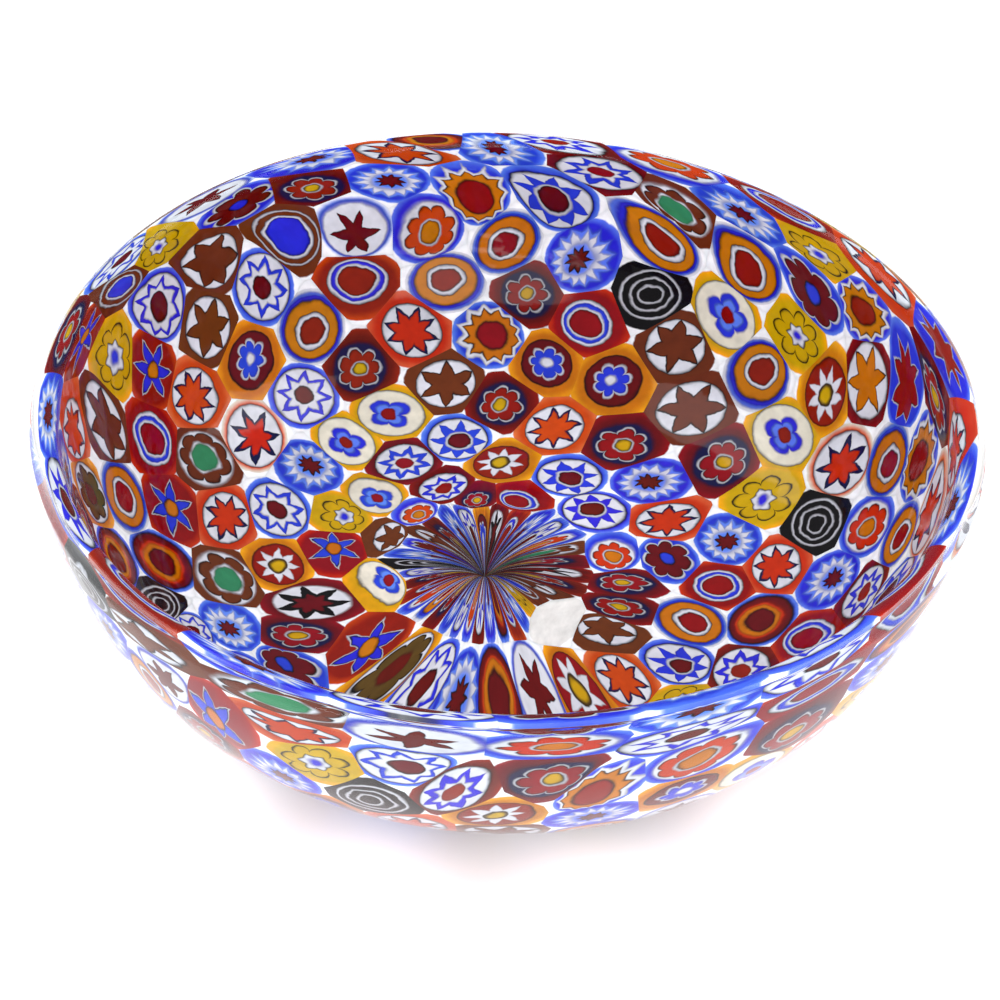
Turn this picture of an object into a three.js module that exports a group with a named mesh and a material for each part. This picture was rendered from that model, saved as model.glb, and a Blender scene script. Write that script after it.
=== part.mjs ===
// An art glass bowl. A clear casing is lined with a mosaic of millefiori murrine, the slices
// of patterned cane, which is drawn to a swirl at the middle of the floor.
// Millimetres, +Z up. The bowl stands on the XY plane, with the centre of its foot at the origin.
import * as THREE from 'three';
import { mergeVertices } from 'three/addons/utils/BufferGeometryUtils.js';

// Driving dimensions of the bowl.
const RIM_RADIUS = 80; // outside of the wall at the lip
const HEIGHT = 51; // from the table to the top of the lip
const FOOT_RADIUS = 27; // the flat, ground disc that the bowl stands on
const CASING_AT_LIP = 2;
const CASING_AT_FOOT = 3.4;
const MURRINE_THICKNESS = 2.2;
const GAP = 0.3; // clearance between one piece of glass and the next

// The wall's outline is one curve, pulled level beyond the foot and then up at the shoulder.
const FLARE = 32; // how far it is pulled out from the foot's edge
const SHOULDER_INSET = 4.4; // inwards from the rim
const SHOULDER_HEIGHT = 11;

// What the glassblower's hand left: nothing of it reaches the foot, all of it the lip.
const OUT_OF_ROUND = 0.9; // in three lobes
const LOBE_AZIMUTH = THREE.MathUtils.degToRad(-5);
const RIM_TILT = 0.6;
const TILT_AZIMUTH = THREE.MathUtils.degToRad(168);
const RIM_WAVE = 0.65; // height of its two crests
const WAVE_AZIMUTH = THREE.MathUtils.degToRad(38);

// The mosaic: rows of six-sided murrine round the wall, and the swirl inside the last row.
const ROWS = 8;
const COLUMNS = 28;
const MURRINE_IN_PANEL = 4; // neighbours in a row, fused to one panel
const SWIRL_RADIUS = 22;
const SWIRL_POINT = new THREE.Vector3(-2.2, 0, 0); // where its petals meet, off the bowl's axis
const SWIRL_RINGS = [0.2, 0.55]; // shares of the way from that point to its edge
const CROWN = 0.25; // how far a murrina or a petal stands proud in its middle

const WALL_STEPS = 16;
const LIP_STEPS = 6;
const TURN_STEPS = 3 * COLUMNS;

const lipRadius = (CASING_AT_LIP + GAP + MURRINE_THICKNESS) / 2;

const outline = new THREE.CurvePath();
outline.add(new THREE.LineCurve(new THREE.Vector2(0, 0), new THREE.Vector2(FOOT_RADIUS, 0)));
outline.add(
  new THREE.CubicBezierCurve(
    new THREE.Vector2(FOOT_RADIUS, 0),
    new THREE.Vector2(FOOT_RADIUS + FLARE, 0),
    new THREE.Vector2(RIM_RADIUS - SHOULDER_INSET, SHOULDER_HEIGHT),
    new THREE.Vector2(RIM_RADIUS, HEIGHT - lipRadius),
  ),
);
const outlineLength = outline.getLength();
const footShare = FOOT_RADIUS / outlineLength;
const rowPitch = (outlineLength - SWIRL_RADIUS) / ROWS;

// Direction into the glass from the outside, at a share of the way from the axis to the lip.
function inward(share) {
  const along = outline.getTangent(share);
  return new THREE.Vector2(-along.y, along.x);
}

// Radius and height of a point at that share, at a depth below the outside.
function sectionPoint(share, depth) {
  return outline.getPoint(share).addScaledVector(inward(share), depth);
}

function casingThickness(share) {
  const rise = THREE.MathUtils.smoothstep(share, footShare, 1);
  return THREE.MathUtils.lerp(CASING_AT_FOOT, CASING_AT_LIP, rise);
}

// Where a point of the true round shape is on the handmade one.
function handmade(radius, azimuth, height) {
  const share = height / HEIGHT;
  const lobes = (OUT_OF_ROUND / RIM_RADIUS) * Math.cos(3 * (azimuth - LOBE_AZIMUTH));
  const tilt = RIM_TILT * Math.cos(azimuth - TILT_AZIMUTH);
  const wave = RIM_WAVE * Math.cos(2 * (azimuth - WAVE_AZIMUTH));
  const r = radius * (1 + lobes * share);
  const z = height + (tilt + wave) * share;
  return new THREE.Vector3(r * Math.cos(azimuth), r * Math.sin(azimuth), z);
}

function lipArc() {
  const centre = sectionPoint(1, lipRadius);
  const across = inward(1).multiplyScalar(lipRadius);
  const up = outline.getTangent(1).multiplyScalar(lipRadius);
  const points = [];
  for (let i = 1; i <= LIP_STEPS; i += 1) {
    const angle = (i / LIP_STEPS) * Math.PI;
    const point = centre.clone().addScaledVector(across, -Math.cos(angle));
    points.push(point.addScaledVector(up, Math.sin(angle)));
  }
  return points;
}

// The clear casing: foot, wall and rounded lip, with a ledge that the mosaic comes up to.
function casingGeometry() {
  const shares = [];
  for (let i = 0; i <= WALL_STEPS; i += 1) {
    shares.push(THREE.MathUtils.lerp(footShare, 1, i / WALL_STEPS));
  }
  const outside = shares.map((share) => sectionPoint(share, 0));
  const inside = shares.map((share) => sectionPoint(share, casingThickness(share)));
  const profile = [
    new THREE.Vector2(0, 0),
    ...outside,
    ...lipArc(),
    ...inside.reverse(),
    new THREE.Vector2(0, CASING_AT_FOOT),
  ];
  const geometry = new THREE.LatheGeometry(profile, TURN_STEPS);
  geometry.rotateX(Math.PI / 2);
  const position = geometry.getAttribute('position');
  for (let i = 0; i < position.count; i += 1) {
    const radius = Math.hypot(position.getX(i), position.getY(i));
    const azimuth = Math.atan2(position.getY(i), position.getX(i));
    const moved = handmade(radius, azimuth, position.getZ(i));
    position.setXYZ(i, moved.x, moved.y, moved.z);
  }
  return weld(geometry);
}

function weld(geometry) {
  geometry.deleteAttribute('normal');
  geometry.deleteAttribute('uv');
  const welded = mergeVertices(geometry, 1e-4);
  welded.computeVertexNormals();
  return welded;
}

// A corner of the mosaic has a place on its inner face and one on the face next to the casing.
function corner(azimuth, distanceFromLip, crown = 0) {
  const share = 1 - distanceFromLip / outlineLength;
  const outerDepth = casingThickness(share) + GAP;
  const innerDepth = outerDepth + MURRINE_THICKNESS + crown;
  const outer = sectionPoint(share, outerDepth);
  const inner = sectionPoint(share, innerDepth);
  return {
    radius: inner.x,
    inner: handmade(inner.x, azimuth, inner.y),
    outer: handmade(outer.x, azimuth, outer.y),
  };
}

// A plate of glass: its triangles on the inner face, the same on the outer one, and the edge
// all round between them. Triangles and edge run counter-clockwise as seen from inside the bowl.
function plateGeometry(triangles, edge) {
  const points = [];
  for (const [a, b, c] of triangles) {
    points.push(a.inner, b.inner, c.inner);
    points.push(c.outer, b.outer, a.outer);
  }
  edge.forEach((here, i) => {
    const next = edge[(i + 1) % edge.length];
    points.push(here.inner, here.outer, next.outer);
    points.push(here.inner, next.outer, next.inner);
  });
  return weld(new THREE.BufferGeometry().setFromPoints(points));
}

// Half steps count half columns round the bowl. Seam n is the top of row n and the bottom of
// row n - 1: it points up into one row's murrine and down into the next row's.
const halfStep = Math.PI / COLUMNS;

function seamCorner(seam, step, side) {
  const reach = seam === 0 ? 0 : rowPitch / 6;
  const direction = (step + seam) % 2 === 0 ? -1 : 1;
  const distance = seam * rowPitch + direction * reach;
  const width = corner(0, distance).radius * halfStep;
  const slant = Math.hypot(width, 2 * reach) / width;
  const clearance = seam === 0 ? GAP : (GAP / 2) * slant;
  return corner(step * halfStep, distance + side * clearance);
}

// Moves a corner at the end of a panel away from the panel beside it.
function pullBack(seam, step, side, direction) {
  const plain = seamCorner(seam, step, side);
  const turn = (direction * GAP) / 2 / plain.radius;
  const spin = (point) => point.clone().applyAxisAngle(new THREE.Vector3(0, 0, 1), turn);
  return { radius: plain.radius, inner: spin(plain.inner), outer: spin(plain.outer) };
}

function panelSeam(seam, first, side) {
  const last = first + 2 * MURRINE_IN_PANEL;
  const corners = [pullBack(seam, first, side, 1)];
  for (let step = first + 1; step < last; step += 1) {
    corners.push(seamCorner(seam, step, side));
  }
  corners.push(pullBack(seam, last, side, -1));
  return corners;
}

function panelGeometry(row, panel) {
  const first = 2 * panel * MURRINE_IN_PANEL + (row % 2) - 1;
  const top = panelSeam(row, first, 1);
  const bottom = panelSeam(row + 1, first, -1);
  const triangles = [];
  for (let i = 0; i < 2 * MURRINE_IN_PANEL; i += 2) {
    const middle = corner((first + i + 1) * halfStep, (row + 0.5) * rowPitch, CROWN);
    const around = [...top.slice(i, i + 3), ...bottom.slice(i, i + 3).reverse()];
    around.forEach((here, n) => {
      triangles.push([middle, here, around[(n + 1) % around.length]]);
    });
  }
  return plateGeometry(triangles, [...top, ...bottom.reverse()]);
}

// The swirl's petals are the drawn-out ends of the lowest murrine, ridged along their middles.
function swirlGeometry() {
  const steps = 2 * COLUMNS;
  const edge = [];
  for (let step = 0; step < steps; step += 1) {
    edge.push(seamCorner(ROWS, step, 1));
  }
  const point = corner(0, outlineLength);
  point.inner.add(SWIRL_POINT);
  point.outer.add(SWIRL_POINT);
  const ring = (share) =>
    edge.map((at, step) => {
      const inner = point.inner.clone().lerp(at.inner, share);
      inner.z += step % 2 === 0 ? CROWN : 0;
      return { inner, outer: point.outer.clone().lerp(at.outer, share) };
    });
  const rings = [...SWIRL_RINGS.map(ring), edge];
  const triangles = [];
  for (let step = 0; step < steps; step += 1) {
    const next = (step + 1) % steps;
    triangles.push([point, rings[0][step], rings[0][next]]);
    for (let n = 1; n < rings.length; n += 1) {
      triangles.push([rings[n - 1][step], rings[n][step], rings[n][next]]);
      triangles.push([rings[n - 1][step], rings[n][next], rings[n - 1][next]]);
    }
  }
  return plateGeometry(triangles, edge);
}

const glass = (color, extra = {}) =>
  new THREE.MeshStandardMaterial({ color, roughness: 0.06, metalness: 0, ...extra });

// Panels take the colour that most of their murrine are jacketed with, in this order round a row.
const JACKETS = ['#3246c8', '#8c1419', '#e1e3ea', '#d24b16', '#c98a1c', '#6e3419', '#3246c8'];
const JACKET_SHIFT = 3; // how far the order moves on from one row to the next

const bowl = new THREE.Group();

function addPiece(name, geometry, material) {
  const piece = new THREE.Mesh(geometry, material);
  piece.name = name;
  bowl.add(piece);
}

addPiece('crystal_casing', casingGeometry(), glass('#e8eef0', { transparent: true, opacity: 0.35 }));
for (let row = 0; row < ROWS; row += 1) {
  for (let panel = 0; panel < COLUMNS / MURRINE_IN_PANEL; panel += 1) {
    const jacket = JACKETS[(panel + JACKET_SHIFT * row) % JACKETS.length];
    addPiece(`murrine_row${row + 1}_panel${panel + 1}`, panelGeometry(row, panel), glass(jacket));
  }
}
addPiece('swirl', swirlGeometry(), glass('#7a2a24'));

export default bowl;
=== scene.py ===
"""An art glass bowl: a clear casing, and a mosaic of murrine that is drawn to a swirl inside it.

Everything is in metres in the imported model's frame: +Z up, with the centre of the foot at the
origin. The mosaic is planned on a flat map of the wall. A place on the map is as far from the
middle as it is along the wall from the bowl's axis, and in the same direction.
"""
import bisect
import math
import random

import bpy
from mathutils import Matrix, Vector


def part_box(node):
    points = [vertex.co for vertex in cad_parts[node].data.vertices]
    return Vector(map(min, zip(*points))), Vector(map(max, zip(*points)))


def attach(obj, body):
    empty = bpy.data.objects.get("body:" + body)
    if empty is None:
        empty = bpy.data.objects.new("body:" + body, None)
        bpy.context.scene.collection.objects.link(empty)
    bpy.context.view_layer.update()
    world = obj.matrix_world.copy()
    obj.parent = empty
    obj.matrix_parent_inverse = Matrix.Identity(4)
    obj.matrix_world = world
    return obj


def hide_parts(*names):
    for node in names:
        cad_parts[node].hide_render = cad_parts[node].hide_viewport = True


MM = 0.001

# The wall, as the CAD model has it.
FOOT_RADIUS = 27 * MM
FLARE = 32 * MM
SHOULDER_INSET = 4.4 * MM
SHOULDER_HEIGHT = 11 * MM
HEIGHT = 51 * MM
CASING_AT_LIP = 2 * MM
CASING_AT_FOOT = 3.4 * MM
MOSAIC_THICKNESS = 2.5 * MM
LIP_RADIUS = (CASING_AT_LIP + MOSAIC_THICKNESS) / 2
OUT_OF_ROUND = 0.9 * MM
LOBE_AZIMUTH = math.radians(-5)
RIM_TILT = 0.6 * MM
TILT_AZIMUTH = math.radians(168)
RIM_WAVE = 0.65 * MM
WAVE_AZIMUTH = math.radians(38)

# The CAD model's rows and panels of murrine.
ROWS = 8
PANELS = 7
MURRINE_IN_PANEL = 4
SWIRL_RADIUS = 22 * MM

# The mosaic.
LIP_TURN = math.radians(100)  # how far the murrine follow the lip round
LIP_COVER = 0.3 * MM  # clear glass over them there
LIP_RISE = 0.35  # how far their outer faces rise in the lip, as a share of its radius
EMBEDDED = 0.1 * MM  # how far the mosaic is sunk into the casing
CROWN = 0.12 * MM
PETAL_CROWN = 0.22 * MM
EDGE_STEP = 0.95 * MM
TINY = 0.01 * MM
STEP_SLACK = 1e-6  # for rounding, in steps
EDGE_SLACK = 1e-7  # for rounding, in metres
MOST_CORNER = 1.5  # the most that a corner lies out past its round shape, as a ratio
SHARES = (0.2, 0.4, 0.6, 0.8, 0.93, 1)  # rings of a murrina, from its middle to its edge
PETAL_SHARES = [0.12, 0.22, 0.32, 0.42, 0.52, 0.62, 0.7, 0.78, 0.86, 0.93, 1]
PETAL_NECK = 0.45  # share of a petal that is drawn out to strands
PETAL_CURVE = 1.2  # above 1, the pattern is more stretched near the neck
PETAL_POWER = 4  # the higher, the squarer a petal's far end is
SWIRL_POINT = Vector((-2.4 * MM, -0.4 * MM))
PETAL_REACH = 14 * MM  # from that point to where the petals' canes were laid
LIFT = 3.2 * MM  # the most that the swirl was dragged towards the back
LIFT_REACH = 11 * MM
PULL = 0.35  # the most that the swirl's front was pulled in, as a share
PULL_REACH = 42 * MM
UNDO_ROUNDS = 8  # enough to find where a place was laid
DRAWN_REACH = 11 * MM  # how far from the point the canes are little more than strands
DRAWN_FROM = 98 * MM  # the canes were laid evenly, and from here on they were drawn along the lip
THINNING = 0.17 / MM  # how fast they get thinner there
CLOSE_FROM = DRAWN_FROM + 10 * MM
CLOSE_AT_LIP = 0.9  # there they leave no clear glass between them
DRAG_FROM = 92 * MM
DRAG = math.radians(13)  # the most that the lip was dragged round, on one side
DRAG_AZIMUTH = math.radians(60)
MIRRORED_BAND = 24 * MM  # seeds this near to the map's edge are mirrored, so their cells end at it
SEED = 11

# The murrine: azimuth in degrees, distance from the axis in mm, kind of cane.
MOSAIC = """
7 104 red_flower, 29 102 sunburst, 40 106 yellow_flower, 54 106 feathered, 65 102 green_heart,
77 106 blue_star_red, 93 109 feathered, 107 109 orange_star, 109 103 feathered, 121 105 red_flower,
133 107 brown_flower, 149 108 yellow_flower, 159 107 blue_eye, 171 107 amber_spark,
185 100 orange_star, 196 103 feathered, 207 104 red_target, 217 104 black_rings,
228 105 brown_star, 247 107 green_heart, 262 106 red_star, 277 106 orange_flower,
292 104 blue_star, 309 104 red_target, 325 103 ember, 341 104 salmon_star, 354 107 orange_star,
12 111 ruby_star, 30 111 orange_star, 48 111 red_target, 67 111 orange_flower, 84 111 blue_star_red,
102 111 ember, 120 111 feathered, 138 111 red_star, 156 111 blue_star, 174 111 red_flower,
191 111 feathered, 208 111 solid_star, 226 110 red_target, 243 111 feathered, 262 111 blue_star,
278 110 brown_flower, 293 109 feathered, 309 109 blue_star, 325 109 red_target, 341 110 feathered,
3 93 sunburst, 15 99 ruby_star, 23 91 amber_star, 39 98 brown_flower, 51 95 amber_target,
66 94 amber_target, 84 99 solid_star, 96 99 sunburst, 103 91 orange_flower, 115 93 red_star,
126 97 blue_eye, 140 99 brown_star, 152 97 blue_star, 165 97 yellow_flower, 199 94 red_flower,
210 95 blue_star, 219 96 feathered, 230 97 red_star, 248 101 orange_star, 261 99 blue_star,
277 97 red_flower, 294 96 orange_flower, 323 95 feathered, 335 95 blue_star_red, 351 94 salmon_star,
9 85 amber_target, 29 82 white_star, 39 88 yellow_flower, 52 84 quatrefoil, 66 82 black_rings,
79 86 feathered, 91 88 amber_target, 116 83 red_target, 132 88 blue_star, 144 86 brown_star,
158 87 amber_spark, 174 89 brown_star, 189 89 dusky_flower, 206 85 amber_target, 215 87 red_target,
226 91 amber_target, 237 94 amber_spark, 250 93 yellow_flower, 266 92 blue_star_red,
282 91 sunburst, 308 92 red_flower, 322 88 yellow_flower, 333 86 amber_target, 343 82 solid_star,
354 84 amber_target,
2 75 orange_flower, 17 75 salmon_star, 42 77 amber_target, 59 73 brown_star, 76 72 red_target,
87 77 red_flower, 101 80 amber_target, 126 75 amber_target, 139 75 blue_flower, 153 76 orange_star,
166 77 red_target, 181 78 amber_target, 196 80 ember, 211 76 brown_star, 222 80 blue_star,
233 84 red_flower, 244 82 feathered, 256 84 black_rings, 271 84 white_star, 283 81 feathered,
294 85 blue_flower, 305 82 quatrefoil, 316 79 orange_star, 328 77 brown_star, 348 74 blue_star_red,
10 64 black_rings, 31 69 quatrefoil, 50 61 brown_star, 68 60 blue_flower, 82 61 blue_flower,
93 67 sunburst, 108 69 orange_star, 120 63 red_flower, 133 62 blue_star, 148 60 salmon_star,
160 65 green_heart, 175 66 amber_spark, 189 66 ember, 200 68 black_rings, 205 62 blue_star,
216 66 quatrefoil, 226 71 yellow_flower, 237 73 red_target, 248 72 blue_flower, 260 73 orange_star,
272 73 brown_star, 284 71 amber_target, 296 73 red_star, 307 71 blue_star, 319 68 white_star,
330 66 feathered, 341 62 red_target, 355 65 feathered,
3 53 orange_star, 22 56 yellow_flower, 36 55 red_flower, 103 55 brown_star, 170 54 orange_star,
188 51 green_heart, 203 53 feathered, 216 55 orange_flower, 228 60 blue_star, 240 61 sunburst,
253 61 feathered, 266 62 red_flower, 278 61 quatrefoil, 291 61 black_rings, 304 59 amber_target,
317 57 salmon_star, 331 51 blue_star_red, 347 50 ember, 316 46 yellow_flower,
14 45 feathered, 44 40 feathered, 58 45 red_flower, 77 44 orange_star, 91 49 red_flower,
118 50 quatrefoil, 132 47 quatrefoil, 144 47 feathered, 162 45 blue_star, 181 41 white_star,
208 40 red_flower, 216 46 brown_flower, 327 40 solid_star, 359 41 red_target,
12 32 brown_flower, 28 36 orange_star, 65 31 solid_star, 91 32 white_star, 103 39 solid_star,
122 36 blue_star_red, 140 31 quatrefoil, 154 33 yellow_flower, 170 31 amber_spark,
196 35 night_star, 344 37 amber_target,
312 34 orange_star, 298 32 white_star, 285 30 red_star, 272 31 ember, 259 32 feathered,
247 31 blue_star, 235 30 dusky_flower, 222 30 amber_spark, 328 23 brown_star, 187 20 quatrefoil,
321 14 clear_patch,
17 22 orange_flower, 48 26 solid_star, 82 21 red_target, 103 21 red_flower, 115 26 blue_star_red,
134 22 orange_flower, 155 22 brown_star, 359 23 red_flower, 343 23 red_flower
"""

# The swirl's petals, round the point that they are drawn to: azimuth in degrees, kind of cane.
PETALS = """
8 red_flower, 20 green_heart, 31 orange_flower, 43 blue_star, 55 feathered, 68 red_target,
82 night_star, 95 blue_flower, 107 blue_star, 120 feathered, 133 red_flower, 146 brown_star,
159 brown_flower, 171 feathered, 182 black_rings, 193 blue_star, 203 red_flower, 212 red_target,
221 orange_flower, 230 amber_target, 239 red_flower, 247 feathered, 254 blue_star,
261 orange_flower, 268 blue_star_red, 275 feathered, 283 ember, 291 red_target, 299 feathered,
308 yellow_flower, 320 blue_eye, 333 brown_star, 344 red_flower, 356 night_star
"""

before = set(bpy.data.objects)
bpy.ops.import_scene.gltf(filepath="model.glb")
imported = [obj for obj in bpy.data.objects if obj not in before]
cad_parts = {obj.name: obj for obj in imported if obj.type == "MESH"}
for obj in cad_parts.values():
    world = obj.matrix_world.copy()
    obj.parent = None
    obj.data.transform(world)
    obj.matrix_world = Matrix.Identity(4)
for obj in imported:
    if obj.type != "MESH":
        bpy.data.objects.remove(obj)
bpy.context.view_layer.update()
casing_low, casing_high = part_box("crystal_casing")
rim_radius = (casing_high.x - casing_low.x) / 2


# ---- The wall's shape ----

def smooth(share):
    """A soft step from 0 to 1."""
    share = min(max(share, 0), 1)
    return share * share * (3 - 2 * share)


def outline_table(steps=400):
    """Lengths, points and directions along the outside, from the foot's edge to the lip."""
    controls = (
        Vector((FOOT_RADIUS, 0)),
        Vector((FOOT_RADIUS + FLARE, 0)),
        Vector((rim_radius - SHOULDER_INSET, SHOULDER_HEIGHT)),
        Vector((rim_radius, HEIGHT - LIP_RADIUS)),
    )
    lengths, points, directions = [], [], []
    for i in range(steps + 1):
        t = i / steps
        s = 1 - t
        a, b, c, d = controls
        point = a * s**3 + b * 3 * s * s * t + c * 3 * s * t * t + d * t**3
        direction = (b - a) * s * s + (c - b) * 2 * s * t + (d - c) * t * t
        travelled = lengths[-1] + (point - points[-1]).length if points else FOOT_RADIUS
        lengths.append(travelled)
        points.append(point)
        directions.append(direction.normalized())
    return lengths, points, directions


LENGTHS, POINTS, DIRECTIONS = outline_table()
WALL_LENGTH = LENGTHS[-1]
MOSAIC_END = WALL_LENGTH + LIP_RADIUS * LIP_TURN
DRAWN_LENGTH = MOSAIC_END - DRAWN_FROM
MAP_RADIUS = DRAWN_FROM + DRAWN_LENGTH + THINNING * DRAWN_LENGTH**2


def outline(distance):
    """The outside's point and direction at a distance along it from the axis."""
    if distance <= FOOT_RADIUS:
        return Vector((distance, 0)), Vector((1, 0))
    last = min(max(bisect.bisect_left(LENGTHS, distance), 1), len(LENGTHS) - 1)
    share = (distance - LENGTHS[last - 1]) / (LENGTHS[last] - LENGTHS[last - 1])
    share = min(share, 1)
    point = POINTS[last - 1].lerp(POINTS[last], share)
    return point, DIRECTIONS[last - 1].lerp(DIRECTIONS[last], share).normalized()


def section(distance, depth):
    """Radius and height at a depth below the outside."""
    point, along = outline(distance)
    return point + Vector((-along.y, along.x)) * depth


def casing_thickness(distance):
    rise = smooth((distance - FOOT_RADIUS) / (WALL_LENGTH - FOOT_RADIUS))
    return CASING_AT_FOOT + (CASING_AT_LIP - CASING_AT_FOOT) * rise


def handmade(point, azimuth):
    """Where a point of the true round section is on the handmade bowl."""
    share = point.y / HEIGHT
    lobes = OUT_OF_ROUND / rim_radius * math.cos(3 * (azimuth - LOBE_AZIMUTH))
    tilt = RIM_TILT * math.cos(azimuth - TILT_AZIMUTH)
    wave = RIM_WAVE * math.cos(2 * (azimuth - WAVE_AZIMUTH))
    radius = point.x * (1 + lobes * share)
    height = point.y + (tilt + wave) * share
    return Vector((radius * math.cos(azimuth), radius * math.sin(azimuth), height))


def round_lip(turn, radius):
    """A point of the lip, at a turn from its inner side over the top."""
    _, along = outline(WALL_LENGTH)
    across = Vector((-along.y, along.x))
    centre = section(WALL_LENGTH, LIP_RADIUS)
    return centre + (across * math.cos(turn) + along * math.sin(turn)) * radius


def mosaic_faces(place, crown):
    """Where a place on the map is, on the mosaic's inner and outer faces."""
    distance = place.length
    azimuth = math.atan2(place.y, place.x)
    if distance <= WALL_LENGTH:
        depth = casing_thickness(distance)
        inner = section(distance, depth + MOSAIC_THICKNESS + crown)
        outer = section(distance, depth - EMBEDDED)
    else:
        turn = (distance - WALL_LENGTH) / LIP_RADIUS
        inner = round_lip(turn, LIP_RADIUS - LIP_COVER * smooth(turn))
        rise = outline(WALL_LENGTH)[1] * LIP_RADIUS * LIP_RISE * math.sin(turn)
        outer = section(WALL_LENGTH, CASING_AT_LIP - EMBEDDED) + rise
    return handmade(inner, azimuth), handmade(outer, azimuth)


# ---- The map of the mosaic ----

def compass(azimuth, distance):
    return Vector((math.cos(azimuth), math.sin(azimuth))) * distance


def clip(polygon, normal, limit):
    """The part of a polygon that is no further than limit along normal."""
    kept = []
    for here, after in zip(polygon, polygon[1:] + polygon[:1]):
        a = here.dot(normal) - limit
        b = after.dot(normal) - limit
        if a <= 0:
            kept.append(here)
        if a * b < 0:
            kept.append(here.lerp(after, a / (a - b)))
    return kept


def cell_round(seed, seeds, reach=45 * MM):
    """The polygon of places that are nearer to this seed than to any other."""
    polygon = [seed + Vector(c) * reach for c in ((-1, -1), (1, -1), (1, 1), (-1, 1))]
    for other in seeds:
        step = other - seed
        if 0 < step.length < 2 * reach:
            polygon = clip(polygon, step, step.dot((seed + other) / 2))
    return [hold_in(place) for place in polygon]


def hold_in(place):
    """A place past the edge of the map is brought back to it."""
    return place * min(1, MAP_RADIUS / place.length) if place.length > 0 else place


def walk(corners):
    """Even steps from corner to corner, on the edge of the map where both corners are."""
    steps = []
    for here, after in zip(corners, corners[1:]):
        count = max(1, math.ceil((after - here).length / EDGE_STEP - STEP_SLACK))
        at_edge = min(here.length, after.length) > MAP_RADIUS - EDGE_SLACK
        for i in range(count):
            place = here.lerp(after, i / count)
            steps.append(place.normalized() * MAP_RADIUS if at_edge else place)
    return steps


def spread(polygon):
    """The two half axes of the ellipse that a polygon is most like."""
    area, middle = 0, Vector((0, 0))
    for a, b in zip(polygon, polygon[1:] + polygon[:1]):
        part = (a.x * b.y - b.x * a.y) / 2
        area += part
        middle += (a + b) / 3 * part
    middle /= area
    xx = xy = yy = 0
    for a, b in zip(polygon, polygon[1:] + polygon[:1]):
        p, q = a - middle, b - middle
        part = (p.x * q.y - q.x * p.y) / 12 / area
        xx += part * (p.x * p.x + p.x * q.x + q.x * q.x)
        yy += part * (p.y * p.y + p.y * q.y + q.y * q.y)
        xy += part * (2 * p.x * p.y + p.x * q.y + q.x * p.y + 2 * q.x * q.y) / 2
    slant = math.atan2(2 * xy, xx - yy) / 2
    mean, half = (xx + yy) / 2, math.hypot((xx - yy) / 2, xy)
    longer = compass(slant, 2 * math.sqrt(mean + half))
    shorter = compass(slant + math.pi / 2, 2 * math.sqrt(mean - half))
    return longer, shorter


def rounded(border, waves=2):
    """How far out a border round the origin lies for its round shape: about 1, more in corners."""
    turns = [a.angle_signed(b) * -1 for a, b in zip(border, border[1:] + border[:1])]
    widths = [(turns[i - 1] + turns[i]) / math.tau / 2 for i in range(len(turns))]
    angles = [math.atan2(spot.y, spot.x) for spot in border]
    radii = [spot.length for spot in border]
    round_radii = [sum(r * w for r, w in zip(radii, widths))] * len(border)
    for wave in range(1, waves + 1):
        for swing in (math.cos, math.sin):
            part = 2 * sum(r * w * swing(wave * a) for r, w, a in zip(radii, widths, angles))
            round_radii = [r + part * swing(wave * a) for r, a in zip(round_radii, angles)]
    return [r / max(even, r / MOST_CORNER) for r, even in zip(radii, round_radii)]


def pull(place):
    """How far a place of the plan was moved as the swirl was drawn up.

    All of it was dragged towards the back, and the front was pulled in towards the point.
    """
    away = place - SWIRL_POINT
    share = away.length / LIFT_REACH
    lifted = Vector((0, LIFT * share * math.exp(1 - share)))
    in_front = max(0, -away.y / away.length) if away.length > 0 else 0
    share = min(away.length / PULL_REACH, 1)
    return lifted - away * (PULL * in_front * (1 - share**2))


def drag(azimuth, distance):
    """How far the lip was dragged round, at a distance on the finished wall."""
    late = max(0, (distance - DRAG_FROM) / (MOSAIC_END - DRAG_FROM)) ** 2
    return DRAG * late * (1 + math.cos(azimuth - DRAG_AZIMUTH)) / 2


def worked(place):
    """Where a place of the plan is on the finished wall.

    The swirl was dragged towards the back as it was drawn up, and the lip was drawn out and
    dragged round.
    """
    place = place + pull(place)
    distance = place.length
    azimuth = math.atan2(place.y, place.x)
    if distance > DRAWN_FROM:
        past = distance - DRAWN_FROM
        distance = DRAWN_FROM + (math.sqrt(1 + 4 * THINNING * past) - 1) / (2 * THINNING)
    return compass(azimuth + drag(azimuth, distance), distance)


def laid(azimuth, distance):
    """Where the plan has a murrina that is at this azimuth and distance on the finished wall."""
    azimuth -= drag(azimuth, distance)
    past = distance - DRAWN_FROM
    if past > 0:
        distance += THINNING * past**2
    finished = compass(azimuth, distance)
    place = finished
    for _ in range(UNDO_ROUNDS):
        place = finished - pull(place)
    return place


def read_plan():
    """Every seed on the map and its kind of cane: the murrine first, and then the petals."""
    murrine, petals = [], []
    for entry in MOSAIC.split(","):
        azimuth, distance, kind = entry.split()
        murrine.append((laid(math.radians(float(azimuth)), float(distance) * MM), kind))
    for entry in PETALS.split(","):
        azimuth, kind = entry.split()
        away = compass(math.radians(float(azimuth)), PETAL_REACH)
        petals.append((SWIRL_POINT + away, kind))
    return murrine, petals


def mirror(place):
    """The place as far past the edge of the map as this one is inside it."""
    return place.normalized() * (2 * MAP_RADIUS - place.length)


# ---- Pieces of glass ----

def solid(name, vertices, faces, sharp_angle=math.radians(40)):
    mesh = bpy.data.meshes.new(name)
    mesh.from_pydata(vertices, [], faces)
    mesh.shade_smooth()
    mesh.set_sharp_from_angle(angle=sharp_angle)
    piece = bpy.data.objects.new(name, mesh)
    bpy.context.scene.collection.objects.link(piece)
    return piece


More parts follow.
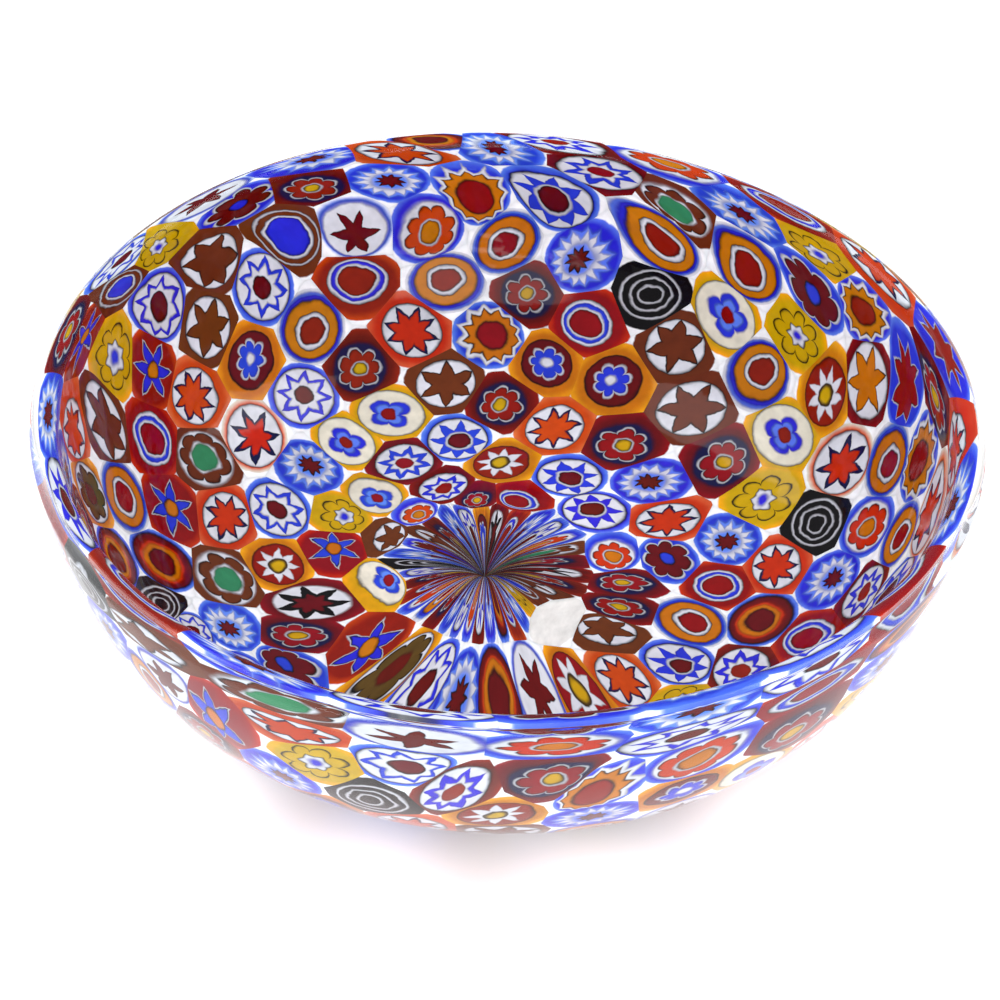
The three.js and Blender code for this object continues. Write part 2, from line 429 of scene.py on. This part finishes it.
def write_values(mesh, name, values):
    kept = mesh.attributes.new(name, "FLOAT", "POINT")
    for i, value in enumerate(values):
        kept.data[i].value = value


def plate(name, places, faces, edge, tone):
    """One piece of the mosaic, through its whole thickness.

    Each place holds a spot on the map, the height of its crown, its place in the cane, and how
    far it is drawn out.

    The faces run counter-clockwise on the map, and so does the edge, both by place number.
    """
    inner, outer = [], []
    for spot, crown, _, _ in places:
        top, under = mosaic_faces(worked(spot), crown)
        inner.append(top)
        outer.append(under)
    count = len(places)
    below = [[i + count for i in reversed(face)] for face in faces]
    rim = [(a, a + count, b + count, b) for a, b in zip(edge, edge[1:] + edge[:1])]
    piece = solid(name, inner + outer, list(faces) + below + rim)
    cane = piece.data.attributes.new("cane", "FLOAT_VECTOR", "POINT")
    for i, (_, _, value, _) in enumerate(places + places):
        cane.data[i].vector = value
    write_values(piece.data, "tone", [tone] * 2 * count)
    write_values(piece.data, "drawn", [place[3] for place in places + places])
    return piece


def flattened(away, longer, shorter):
    """A step on the map, in shares of an ellipse's two half axes."""
    return Vector((away.dot(longer) / longer.length**2, away.dot(shorter) / shorter.length**2))


def murrina(name, middle, polygon, rng):
    """One murrina, in rings round its middle. Its cane is turned any way round."""
    longer, shorter = spread(polygon)
    border = walk(polygon + polygon[:1])
    turn = rng.uniform(0, math.tau)
    places = [(middle, CROWN, Vector((0, 0, 0)), 0)]
    across = [spot - middle for spot in border]
    flats = [flattened(away, longer, shorter) for away in across]
    corners = rounded(flats)
    closeness = CLOSE_AT_LIP if middle.length > CLOSE_FROM else 1
    for share in SHARES:
        for away, flat, roundness in zip(across, flats, corners):
            cane = flat.copy()
            cane.rotate(Matrix.Rotation(turn, 2))
            value = Vector((cane.x, cane.y, roundness * closeness)) * share
            places.append((middle + away * share, CROWN * (1 - share**2) ** 2, value, 0))
    n = len(border)
    faces = [(0, 1 + i, 1 + (i + 1) % n) for i in range(n)]
    for ring in range(len(SHARES) - 1):
        low, high = 1 + ring * n, 1 + (ring + 1) * n
        for i in range(n):
            j = (i + 1) % n
            faces.append((low + i, high + i, high + j, low + j))
    edge = list(range(1 + (len(SHARES) - 1) * n, 1 + len(SHARES) * n))
    return plate(name, places, faces, edge, rng.random())


def petal(name, polygon, rng):
    """One petal of the swirl, in rows from the point to its far end.

    Its cane is drawn out to strands along it, so only the far end shows the pattern.
    """
    first = min(range(len(polygon)), key=lambda i: (polygon[i] - SWIRL_POINT).length)
    corners = polygon[first + 1 :] + polygon[:first]
    corners = [corner for corner in corners if (corner - SWIRL_POINT).length > TINY]
    far = walk(corners) + [corners[-1]]
    start = far[0] - SWIRL_POINT
    bearings = [start.angle_signed(spot - SWIRL_POINT) * -1 for spot in far]
    places = [(SWIRL_POINT, 0, Vector((0, 0, 0)), 1)]
    for share in PETAL_SHARES:
        along = max(0, (share - PETAL_NECK) / (1 - PETAL_NECK)) ** PETAL_CURVE
        for spot, bearing in zip(far, bearings):
            side = 2 * bearing / bearings[-1] - 1
            crown = PETAL_CROWN * (1 - side**2) * math.sin(math.pi * share)
            outward = (side**PETAL_POWER + along**PETAL_POWER) ** (1 / PETAL_POWER)
            value = Vector((side, along, outward))
            nearness = math.exp(-share * (spot - SWIRL_POINT).length / DRAWN_REACH)
            places.append((SWIRL_POINT.lerp(spot, share), crown, value, nearness))
    n, rows = len(far), len(PETAL_SHARES)
    faces = [(0, 1 + i, 2 + i) for i in range(n - 1)]
    for row in range(rows - 1):
        low, high = 1 + row * n, 1 + (row + 1) * n
        faces += [(low + i, high + i, high + i + 1, low + i + 1) for i in range(n - 1)]
    last = 1 + (rows - 1) * n
    right = [1 + row * n for row in range(rows)]
    left = [row * n + n for row in range(rows - 1, 0, -1)]
    edge = [0] + right + list(range(last + 1, last + n)) + left[1:] + [n]
    return plate(name, places, faces, list(dict.fromkeys(edge)), rng.random())


FOOT_SHARES = (0, 0.35, 0.7, 0.96)  # rings of the foot, from its middle to its edge
FLOOR_SHARES = (0.6, 0)  # rings of the casing's floor, inwards


def casing_profile(wall_steps=44, lip_steps=22):
    """Half of the casing's section, from the middle of the foot round to its inside."""
    wall = WALL_LENGTH - FOOT_RADIUS
    distances = [FOOT_RADIUS + wall * i / wall_steps for i in range(wall_steps + 1)]
    foot = [Vector((FOOT_RADIUS * share, 0)) for share in FOOT_SHARES]
    outside = [section(d, 0) for d in distances]
    lip = [round_lip(math.pi * (1 - i / lip_steps), LIP_RADIUS) for i in range(1, lip_steps + 1)]
    ledge = section(WALL_LENGTH - MM, CASING_AT_LIP + MOSAIC_THICKNESS / 2)
    inside = [section(d, casing_thickness(d)) for d in reversed(distances[:-1])]
    floor = [Vector((FOOT_RADIUS * share, CASING_AT_FOOT)) for share in FLOOR_SHARES]
    return foot + outside + lip + [ledge] + inside + floor


def casing(turns=224):
    """The clear casing as one closed shell, with its foot ground matt."""
    profile = casing_profile()
    vertices = [handmade(profile[0], 0)]
    for point in profile[1:-1]:
        vertices += [handmade(point, math.tau * i / turns) for i in range(turns)]
    vertices.append(handmade(profile[-1], 0))
    faces = []
    for i in range(turns):
        j = (i + 1) % turns
        faces.append((0, 1 + j, 1 + i))
        for ring in range(len(profile) - 3):
            low, high = 1 + ring * turns, 1 + (ring + 1) * turns
            faces.append((low + i, low + j, high + j, high + i))
        top = len(vertices) - 1 - turns
        faces.append((len(vertices) - 1, top + i, top + j))
    piece = solid("clear_casing", vertices, faces)
    piece.data.materials.append(clear_glass("clear_glass", roughness=0.012, unevenness=0.02))
    piece.data.materials.append(clear_glass("ground_foot", roughness=0.3, unevenness=0.25))
    heights = [vertex.co.z for vertex in piece.data.vertices]
    for face in piece.data.polygons:
        if max(heights[i] for i in face.vertices) < TINY:
            face.material_index = 1
    return piece


# ---- Materials ----

def linear(red, green, blue):
    """A colour from its display values, 0 to 255."""
    values = [channel / 255 for channel in (red, green, blue)]
    return [v / 12.92 if v <= 0.04045 else ((v + 0.055) / 1.055) ** 2.4 for v in values] + [1]


COLOURS = {
    # The clear glass between the canes is painted near-white, paler than the white glass: painted
    # light showing through it.
    "clear": linear(238, 238, 243),
    "white": linear(198, 199, 208),
    "mist": linear(214, 212, 210),
    "milk": linear(208, 203, 188),
    "royal": linear(34, 44, 192),
    "sky": linear(84, 118, 218),
    "navy": linear(16, 14, 60),
    "maroon": linear(92, 5, 8),
    "red": linear(128, 8, 6),
    "scarlet": linear(180, 48, 8),
    "salmon": linear(200, 90, 48),
    "amber": linear(180, 104, 6),
    "gold": linear(226, 152, 14),
    "yellow": linear(182, 144, 6),
    "brown": linear(96, 40, 16),
    "olive": linear(82, 58, 20),
    "green": linear(46, 122, 84),
    "ink": linear(10, 8, 12),
}


SOFT = 0.025  # how softly a layer ends, unless its kind says otherwise


def disc(colour, reach, soft=SOFT):
    return colour, "disc", 1, reach, reach, soft


def star(colour, points, tips, notches, soft=SOFT):
    return colour, "star", points, tips, notches, soft


def flower(colour, petals, tips, notches, soft=SOFT):
    return colour, "flower", petals, tips, notches, soft


# Jackets with a painted glow: paler where they meet the clear glass between the canes, as if light
# shone through them there.
PAINTED_GLOWS = {
    "royal": "sky",
    "sky": "clear",
    "scarlet": "salmon",
    "salmon": "milk",
    "amber": "gold",
    "yellow": "gold",
    "maroon": "red",
    "red": "scarlet",
}
CLOSE_JACKETS = ("maroon", "red", "brown", "scarlet", "amber", "yellow", "ink")

# Each kind of cane: its jacket, and then its layers from the outside in. A reach is a share
# of the way from the middle to the edge.
CANES = {
    "blue_star": ("royal", [
        disc("ink", 0.86), disc("white", 0.83), star("royal", 8, 0.8, 0.5),
        star("white", 8, 0.6, 0.4), disc("ink", 0.3), disc("maroon", 0.27)]),
    "solid_star": ("royal", [
        disc("navy", 0.86), disc("white", 0.82), star("royal", 8, 0.8, 0.44),
        disc("white", 0.37), disc("ink", 0.31), disc("maroon", 0.28)]),
    "blue_star_red": ("maroon", [
        disc("ink", 0.83), disc("white", 0.8), star("royal", 8, 0.77, 0.46),
        star("white", 8, 0.48, 0.32), disc("red", 0.26)]),
    "amber_target": ("white", [
        disc("sky", 0.93, 0.04), disc("royal", 0.87, 0.04), disc("ink", 0.79, 0.04),
        disc("amber", 0.76), disc("ink", 0.5), disc("white", 0.47), disc("ink", 0.37),
        disc("red", 0.35)]),
    "red_target": ("red", [
        disc("ink", 0.72), disc("white", 0.7), disc("royal", 0.62), disc("white", 0.5),
        disc("ink", 0.43), disc("red", 0.41)]),
    "brown_star": ("brown", [
        disc("ink", 0.8), disc("white", 0.77), star("ink", 6, 0.79, 0.41),
        star("brown", 6, 0.74, 0.37)]),
    "orange_star": ("scarlet", [
        disc("ink", 0.78), disc("white", 0.75), star("navy", 8, 0.74, 0.41),
        star("scarlet", 8, 0.6, 0.35)]),
    "salmon_star": ("salmon", [
        disc("maroon", 0.85), disc("white", 0.82), star("navy", 7, 0.78, 0.36),
        star("scarlet", 7, 0.54, 0.31)]),
    "red_flower": ("maroon", [
        disc("navy", 0.76, 0.08), flower("white", 7, 0.64, 0.44), flower("ink", 7, 0.59, 0.4),
        flower("red", 7, 0.57, 0.37), disc("white", 0.25), disc("ink", 0.21), disc("yellow", 0.18)]),
    "blue_flower": ("amber", [
        disc("ink", 0.74), disc("maroon", 0.71), flower("white", 7, 0.52, 0.36),
        flower("royal", 7, 0.46, 0.3), disc("white", 0.17, 0.04)]),
    "yellow_flower": ("yellow", [
        flower("ink", 7, 0.77, 0.48), flower("yellow", 7, 0.72, 0.43), star("ink", 6, 0.39, 0.29),
        star("white", 6, 0.36, 0.26), disc("royal", 0.16, 0.08)]),
    "orange_flower": ("royal", [
        disc("white", 0.78, 0.06), flower("ink", 8, 0.7, 0.52), flower("scarlet", 8, 0.67, 0.49),
        disc("white", 0.33), disc("ink", 0.28), disc("amber", 0.26)]),
    "quatrefoil": ("yellow", [
        disc("ink", 0.88), disc("milk", 0.86), flower("royal", 4, 0.56, 0.34, 0.05),
        flower("sky", 4, 0.38, 0.24, 0.04), disc("red", 0.2)]),
    "feathered": ("royal", [
        star("sky", 14, 0.84, 0.7, 0.08), star("white", 14, 0.75, 0.5, 0.09),
        disc("sky", 0.42, 0.12), star("ink", 9, 0.36, 0.22), star("maroon", 9, 0.31, 0.18)]),
    "black_rings": ("ink", [
        disc("white", 0.77), disc("ink", 0.7), disc("white", 0.53), disc("ink", 0.47),
        disc("white", 0.31), disc("ink", 0.25)]),
    "blue_eye": ("brown", [
        disc("ink", 0.81), disc("white", 0.79), disc("brown", 0.74), disc("ink", 0.59),
        disc("white", 0.57), disc("ink", 0.49), disc("royal", 0.47)]),
    "green_heart": ("brown", [
        disc("white", 0.84, 0.05), flower("ink", 7, 0.8, 0.62), flower("brown", 7, 0.77, 0.58),
        star("white", 5, 0.5, 0.42, 0.04), disc("green", 0.4, 0.04)]),
    "amber_spark": ("red", [
        star("white", 6, 0.84, 0.34), star("navy", 6, 0.78, 0.3), star("royal", 6, 0.72, 0.27),
        disc("ink", 0.25), disc("amber", 0.22)]),
    "sunburst": ("royal", [
        star("white", 12, 0.94, 0.78), star("ink", 12, 0.82, 0.66), star("amber", 12, 0.79, 0.62),
        disc("ink", 0.46, 0.05), disc("red", 0.42)]),
    "ember": ("royal", [
        disc("ink", 0.9, 0.05), disc("maroon", 0.85), disc("scarlet", 0.68, 0.07),
        disc("amber", 0.58, 0.06), disc("ink", 0.43, 0.05), disc("maroon", 0.4, 0.04)]),
    "red_star": ("sky", [
        disc("royal", 0.88, 0.06), disc("white", 0.81, 0.06), star("ink", 6, 0.66, 0.27),
        star("maroon", 6, 0.63, 0.25)]),
    "white_star": ("amber", [
        disc("ink", 0.78), disc("red", 0.76), star("white", 8, 0.66, 0.34), disc("ink", 0.27),
        disc("olive", 0.25), disc("yellow", 0.19)]),
    "amber_star": ("maroon", [
        disc("ink", 0.84), disc("white", 0.82), star("ink", 6, 0.82, 0.37),
        star("amber", 6, 0.76, 0.34)]),
    "ruby_star": ("royal", [
        star("white", 8, 0.8, 0.43), star("ink", 8, 0.74, 0.39), star("red", 8, 0.71, 0.37)]),
    "brown_flower": ("royal", [
        flower("white", 7, 0.84, 0.6), flower("ink", 7, 0.77, 0.54),
        flower("maroon", 7, 0.74, 0.5), disc("ink", 0.26), disc("royal", 0.22)]),
    "dusky_flower": ("amber", [
        disc("ink", 0.84), disc("white", 0.81), flower("ink", 7, 0.76, 0.56),
        flower("olive", 7, 0.71, 0.5), disc("maroon", 0.3, 0.05)]),
    "clear_patch": ("mist", []),
    "night_star": ("maroon", [
        disc("white", 0.78, 0.04), star("ink", 7, 0.78, 0.36), star("maroon", 7, 0.42, 0.26)]),
}

EDGE_SHADE = 0.5  # how dark a layer is at its very edge
EDGE_WIDTH = 0.07
JACKET_EDGE = 1.01  # where a jacket ends in clear glass
CLOSE_JACKET_EDGE = 1.13
PAINTED_GLOW_EDGE = 0.84  # where a jacket's painted glow starts, paler towards its edge
WIDE_SMEAR = 0.26  # how far patterns are pushed about, in shares of the cane
FINE_SMEAR = 0.07
EDGE_SMEAR = 0.05
TONES = 47  # spreads the murrine's tones, so that their noise isn't alike
STAR_CURVE = 1.35  # above 1, a star's points are slimmer
PETAL_BLUNTNESS = 0.55  # below 1, a flower's petals are rounder
STRANDS = 8  # across a petal
MOST_DARK = 0.93  # how dark the strands get at the swirl's point


class Shader:
    """A material's node tree. Each method adds a node and gives back the socket it makes."""

    def __init__(self, name):
        self.material = bpy.data.materials.new(name)
        self.material.use_nodes = True
        self.tree = self.material.node_tree
        self.principled = self.tree.nodes["Principled BSDF"]
        self.output = self.tree.nodes["Material Output"]

    def put(self, node, socket, value):
        if isinstance(value, bpy.types.NodeSocket):
            self.tree.links.new(value, node.inputs[socket])
        else:
            node.inputs[socket].default_value = value

    def node(self, kind, inputs, **settings):
        made = self.tree.nodes.new(kind)
        for name, value in settings.items():
            setattr(made, name, value)
        for socket, value in inputs.items():
            self.put(made, socket, value)
        return made

    def math(self, operation, *values):
        node = self.node("ShaderNodeMath", dict(enumerate(values)), operation=operation)
        return node.outputs[0]

    def step(self, value, low, high):
        """A soft step from 0 where value is low to 1 where it is high."""
        ends = {"Value": value, "From Min": low, "From Max": high}
        return self.node("ShaderNodeMapRange", ends, interpolation_type="SMOOTHSTEP").outputs[0]

    def mix(self, share, under, over):
        node = self.node("ShaderNodeMix", {0: share, 6: under, 7: over}, data_type="RGBA")
        return node.outputs[2]

    def noise(self, place, scale, detail=2):
        return self.node("ShaderNodeTexNoise", {"Vector": place, "Scale": scale, "Detail": detail})

    def object_place(self):
        return self.node("ShaderNodeTexCoord", {}).outputs["Object"]

    def attribute(self, name, output="Fac"):
        return self.node("ShaderNodeAttribute", {}, attribute_name=name).outputs[output]

    def combine(self, *parts):
        return self.node("ShaderNodeCombineXYZ", dict(enumerate(parts))).outputs[0]

    def split(self, vector):
        return self.node("ShaderNodeSeparateXYZ", {0: vector}).outputs

    def scatter(self, socket, amount):
        """A noise value, shared out evenly on both sides of nothing."""
        return self.math("MULTIPLY", self.math("SUBTRACT", socket, 0.5), amount)

    def bump(self, height, strength, distance):
        inputs = {"Height": height, "Strength": strength, "Distance": distance}
        self.put(self.principled, "Normal", self.node("ShaderNodeBump", inputs).outputs[0])


def wavy(shader, angle, shape, count, tips, notches):
    """How far a layer reaches at this angle round the cane."""
    if shape == "disc":
        return tips
    if shape == "star":
        turns = shader.math("MULTIPLY", angle, count / math.tau)
        ramp = shader.math("MULTIPLY", shader.math("PINGPONG", turns, 0.5), 2)
        wave = shader.math("POWER", ramp, STAR_CURVE)
    else:
        swing = shader.math("COSINE", shader.math("MULTIPLY", angle, count / 2))
        wave = shader.math("POWER", shader.math("ABSOLUTE", swing), PETAL_BLUNTNESS)
    return shader.math("MULTIPLY_ADD", wave, tips - notches, notches)


def smeared(shader, cane, place):
    """A place in the cane, and its nearness to the edge, pushed about as soft glass is."""
    x, y, edge = shader.split(cane)
    wide = shader.split(shader.noise(place, 1.5, 1).outputs["Color"])
    fine = shader.split(shader.noise(place, 6, 1).outputs["Color"])
    x = shader.math("ADD", x, shader.scatter(wide[0], WIDE_SMEAR))
    y = shader.math("ADD", y, shader.scatter(wide[1], WIDE_SMEAR))
    x = shader.math("ADD", x, shader.scatter(fine[0], FINE_SMEAR))
    y = shader.math("ADD", y, shader.scatter(fine[1], FINE_SMEAR))
    return x, y, shader.math("ADD", edge, shader.scatter(fine[2], EDGE_SMEAR))


def reach_of(shader, x, y, edge):
    """How far out a place is: round in the cane's middle, and as its outline is at the edge."""
    squares = shader.math("ADD", shader.math("MULTIPLY", x, x), shader.math("MULTIPLY", y, y))
    middle = shader.math("SQRT", squares)
    outward = shader.step(edge, 0.5, 1)
    return shader.math("MULTIPLY_ADD", shader.math("SUBTRACT", edge, middle), outward, middle)


def jacket_colour(shader, jacket, reach):
    """The jacket, with a painted glow towards its edge, and past it clear glass painted near-white
    for the light that shows through it.
    """
    rim = CLOSE_JACKET_EDGE if jacket in CLOSE_JACKETS else JACKET_EDGE
    glow_colour = COLOURS[PAINTED_GLOWS.get(jacket, jacket)]
    glow = shader.mix(shader.step(reach, rim, PAINTED_GLOW_EDGE), glow_colour, COLOURS[jacket])
    return shader.mix(shader.step(reach, rim + 0.02, rim - 0.03), COLOURS["clear"], glow)


def layered(shader, colour, layers, reach, angle):
    """The cane's layers over its jacket, each a little darker at its own edge."""
    for name, shape, count, tips, notches, soft in layers:
        limit = wavy(shader, angle, shape, count, tips, notches)
        depth = shader.math("SUBTRACT", limit, reach)
        inside = shader.step(depth, -soft, soft)
        full = COLOURS[name]
        shade = [channel * EDGE_SHADE for channel in full[:3]] + [1]
        layer = shader.mix(shader.step(depth, 0, EDGE_WIDTH), shade, full)
        colour = shader.mix(inside, colour, layer)
    return colour


def stranded(shader, colour, x, own):
    """The colour with dark strands, where the cane is drawn out towards the swirl's point."""
    drawn = shader.attribute("drawn")
    strand = shader.combine(shader.math("MULTIPLY", x, STRANDS), own)
    strand = shader.step(shader.noise(strand, 1, 1).outputs["Fac"], 0.44, 0.5)
    all_over = shader.math("MULTIPLY", shader.math("POWER", drawn, 2.5), 0.75)
    in_strands = shader.math("MULTIPLY", shader.math("MULTIPLY", drawn, strand), 1.3)
    dark = shader.math("MINIMUM", shader.math("ADD", all_over, in_strands), MOST_DARK)
    return shader.mix(dark, colour, COLOURS["ink"])


def graded(shader, colour, place, tone, own):
    """The colour with a murrina's own hue and lightness, and cloudy inside."""
    cloud = shader.noise(place, 3.2, 3).outputs["Fac"]
    cloudy = shader.math("ADD", 1, shader.scatter(cloud, 0.5))
    value = shader.math("ADD", cloudy, shader.scatter(tone, 0.14))
    hue = shader.math("ADD", 0.5, shader.scatter(shader.math("FRACT", own), 0.014))
    inputs = {"Hue": hue, "Value": value, "Color": colour}
    return shader.node("ShaderNodeHueSaturation", inputs).outputs[0]


def cane_glass(kind):
    """Glass with a cane's pattern. Each murrina's own tone makes its pattern unlike the others."""
    jacket, layers = CANES[kind]
    shader = Shader(f"cane_{kind}")
    cane = shader.attribute("cane", "Vector")
    tone = shader.attribute("tone")
    own = shader.math("MULTIPLY", tone, TONES)
    place = shader.combine(*shader.split(cane)[:2], own)
    x, y, edge = smeared(shader, cane, place)
    reach = reach_of(shader, x, y, edge)
    angle = shader.math("ARCTAN2", y, x)
    colour = layered(shader, jacket_colour(shader, jacket, reach), layers, reach, angle)
    colour = graded(shader, stranded(shader, colour, x, own), place, tone, own)
    shader.put(shader.principled, "Base Color", colour)
    spot = shader.object_place()
    wear = shader.noise(spot, 160, 3).outputs["Fac"]
    shader.put(shader.principled, "Roughness", shader.math("MULTIPLY_ADD", wear, 0.1, 0.02))
    shader.put(shader.principled, "IOR", 1.5)
    shader.put(shader.principled, "Specular IOR Level", 0.22)
    shader.put(shader.principled, "Subsurface Weight", 0.5)
    shader.put(shader.principled, "Subsurface Radius", (1, 0.8, 0.8))
    shader.put(shader.principled, "Subsurface Scale", 1.5 * MM)
    shader.bump(shader.noise(spot, 85, 1).outputs["Fac"], 0.25, 0.6 * MM)
    return shader.material


CASING_IOR = 1.25
STRAIGHT_FROM = 1.5  # a ray that has met more surfaces than this goes straight on


def clear_glass(name, roughness, unevenness):
    """Clear glass, which bends light less than real glass does.

    Shadow rays go straight through it, and so do rays that have met two surfaces already.
    """
    shader = Shader(name)
    spot = shader.object_place()
    tint = shader.noise(spot, 22, 1).outputs["Fac"]
    colour = shader.mix(tint, linear(244, 250, 249), linear(252, 253, 255))
    shader.put(shader.principled, "Base Color", colour)
    wear = shader.noise(spot, 260, 3).outputs["Fac"]
    uneven = shader.math("MULTIPLY_ADD", wear, unevenness, roughness)
    shader.put(shader.principled, "Roughness", uneven)
    shader.put(shader.principled, "IOR", CASING_IOR)
    shader.put(shader.principled, "Transmission Weight", 1)
    shader.bump(shader.noise(spot, 60, 1).outputs["Fac"], 0.12, 0.5 * MM)
    path = shader.node("ShaderNodeLightPath", {}).outputs
    later = shader.math("GREATER_THAN", path["Ray Depth"], STRAIGHT_FROM)
    straight_on = shader.math("MAXIMUM", path["Is Shadow Ray"], later)
    through = shader.node("ShaderNodeBsdfTransparent", {"Color": linear(240, 244, 244)})
    both = shader.node("ShaderNodeMixShader", {
        0: straight_on, 1: shader.principled.outputs[0], 2: through.outputs[0]})
    shader.tree.links.new(both.outputs[0], shader.output.inputs["Surface"])
    return shader.material


def table_top():
    shader = Shader("pale_table")
    cloud = shader.noise(shader.object_place(), 9, 3).outputs["Fac"]
    colour = shader.mix(cloud, linear(243, 243, 245), linear(250, 250, 250))
    shader.put(shader.principled, "Base Color", colour)
    shader.put(shader.principled, "Roughness", 0.6)
    shader.put(shader.principled, "Specular IOR Level", 0.2)
    return shader.material


# ---- The pieces, each in the place of the CAD nodes under it ----

def panel_at(place):
    """The CAD node that holds this place on the map."""
    if place.length < SWIRL_RADIUS:
        return "swirl"
    down = (WALL_LENGTH - place.length) / (WALL_LENGTH - SWIRL_RADIUS)
    row = min(max(int(down * ROWS), 0), ROWS - 1)
    half_steps = 2 * PANELS * MURRINE_IN_PANEL
    step = math.atan2(place.y, place.x) / math.tau * half_steps
    panel = math.floor((step - row % 2 + 1) / (2 * MURRINE_IN_PANEL)) % PANELS
    return f"murrine_row{row + 1}_panel{panel + 1}"


def finish_piece(piece, nodes):
    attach(piece, "root")
    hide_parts(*nodes)


def build_mosaic():
    """Every murrina and petal, each over the CAD panels that it lies on."""
    rng = random.Random(SEED)
    materials = {kind: cane_glass(kind) for kind in CANES}
    murrine, petals = read_plan()
    seeds = [seed for seed, _ in murrine + petals]
    seeds += [mirror(seed) for seed in seeds if seed.length > MAP_RADIUS - MIRRORED_BAND]
    for number, (seed, kind) in enumerate(murrine + petals):
        polygon = cell_round(seed, seeds)
        if number < len(murrine):
            piece = murrina(f"murrina_{number + 1:03d}_{kind}", seed, polygon, rng)
        else:
            piece = petal(f"petal_{number - len(murrine) + 1:02d}_{kind}", polygon, rng)
        piece.data.materials.append(materials[kind])
        under = {panel_at(worked(place)) for place in [seed] + walk(polygon + polygon[:1])}
        finish_piece(piece, sorted(under))


TABLE_HALF = 2.5
TABLE_HEIGHT = -0.03 * MM  # a hair under the foot


def build_table():
    corners = ((-1, -1), (1, -1), (1, 1), (-1, 1))
    vertices = [(x * TABLE_HALF, y * TABLE_HALF, TABLE_HEIGHT) for x, y in corners]
    table = solid("table", vertices, [(0, 1, 2, 3)])
    table.data.materials.append(table_top())


# ---- Camera and light ----

CAMERA_PLACE = Vector((0, -292.5, 281.6)) * MM
CAMERA_AIM = Vector((-0.2, 0, 24.4)) * MM
CAMERA_ROLL = math.radians(2.46)
CAMERA_LENS = 79.2


def aimed(name, data, place, aim, roll=0):
    thing = bpy.data.objects.new(name, data)
    turned = (aim - place).to_track_quat("-Z", "Y").to_matrix() @ Matrix.Rotation(roll, 3, "Z")
    thing.matrix_world = Matrix.Translation(place) @ turned.to_4x4()
    bpy.context.scene.collection.objects.link(thing)
    return thing


def place_camera():
    data = bpy.data.cameras.new("camera")
    data.lens = CAMERA_LENS
    data.clip_start = 10 * MM
    scene = bpy.context.scene
    scene.camera = aimed("camera", data, CAMERA_PLACE, CAMERA_AIM, CAMERA_ROLL)
    scene.view_settings.view_transform = "Standard"


def soft_light(name, place, width, height, power):
    data = bpy.data.lights.new(name, "AREA")
    data.shape = "RECTANGLE"
    data.size = width
    data.size_y = height
    data.energy = power
    aimed(name, data, place, Vector((0, 0, HEIGHT / 2)))


# A ring of small lamps near the table. They stand for the tinted light that real glass lets
# down on it, and can't be seen themselves.
GLOWS_ROUND = 12
GLOW_RADIUS = 76 * MM
GLOW_AIM = 1.12  # how far out they point, as a share of that radius
GLOW_HEIGHT = 16 * MM
GLOW_WIDTH = 36 * MM
GLOW_POWER = 0.0032
WARM_AZIMUTH = math.radians(-50)
WARMTH = (0, 0.25, 0.32)  # how much red, green and blue the warmest lamp lacks


def glow_under(name, azimuth, colour):
    data = bpy.data.lights.new(name, "AREA")
    data.shape = "DISK"
    data.size = GLOW_WIDTH
    data.energy = GLOW_POWER
    data.color = colour
    place = Vector((*compass(azimuth, GLOW_RADIUS), GLOW_HEIGHT))
    aim = Vector((*compass(azimuth, GLOW_RADIUS * GLOW_AIM), 0))
    lamp = aimed(name, data, place, aim)
    lamp.visible_camera = False
    lamp.visible_glossy = False
    lamp.visible_transmission = False


# White light from all round. Mirrored rays see less of it, so that the glass isn't veiled.
TENT_LIGHT = 1.35
TENT_IN_GLOSS = 0.45

# Place, width, height and power of each softbox.
SOFTBOXES = {
    "left_softbox": ((-0.55, 0.25, 0.85), 0.55, 0.55, 2.2),
    "right_softbox": ((0.6, 0.2, 0.7), 0.35, 0.6, 1.6),
    "front_softbox": ((0.1, -0.9, 0.5), 0.9, 0.4, 2.5),
    "low_front_softbox": ((0, -0.75, 0.1), 0.9, 0.16, 1.8),
}


def light_scene():
    world = bpy.data.worlds.new("studio")
    bpy.context.scene.world = world
    world.use_nodes = True
    background = world.node_tree.nodes["Background"]
    background.inputs["Color"].default_value = (1, 1, 1, 1)
    path = world.node_tree.nodes.new("ShaderNodeLightPath")
    strength = world.node_tree.nodes.new("ShaderNodeMapRange")
    strength.inputs["To Min"].default_value = TENT_LIGHT
    strength.inputs["To Max"].default_value = TENT_IN_GLOSS
    world.node_tree.links.new(path.outputs["Is Glossy Ray"], strength.inputs["Value"])
    world.node_tree.links.new(strength.outputs[0], background.inputs["Strength"])
    for name, (place, width, height, power) in SOFTBOXES.items():
        soft_light(name, Vector(place), width, height, power)
    for i in range(GLOWS_ROUND):
        azimuth = math.tau * (i + 0.5) / GLOWS_ROUND
        warmth = (1 + math.cos(azimuth - WARM_AZIMUTH)) / 2
        glow_under(f"glow_{i + 1}", azimuth, [1 - part * warmth for part in WARMTH])


place_camera()
light_scene()
build_table()
finish_piece(casing(), ["crystal_casing"])
build_mosaic()
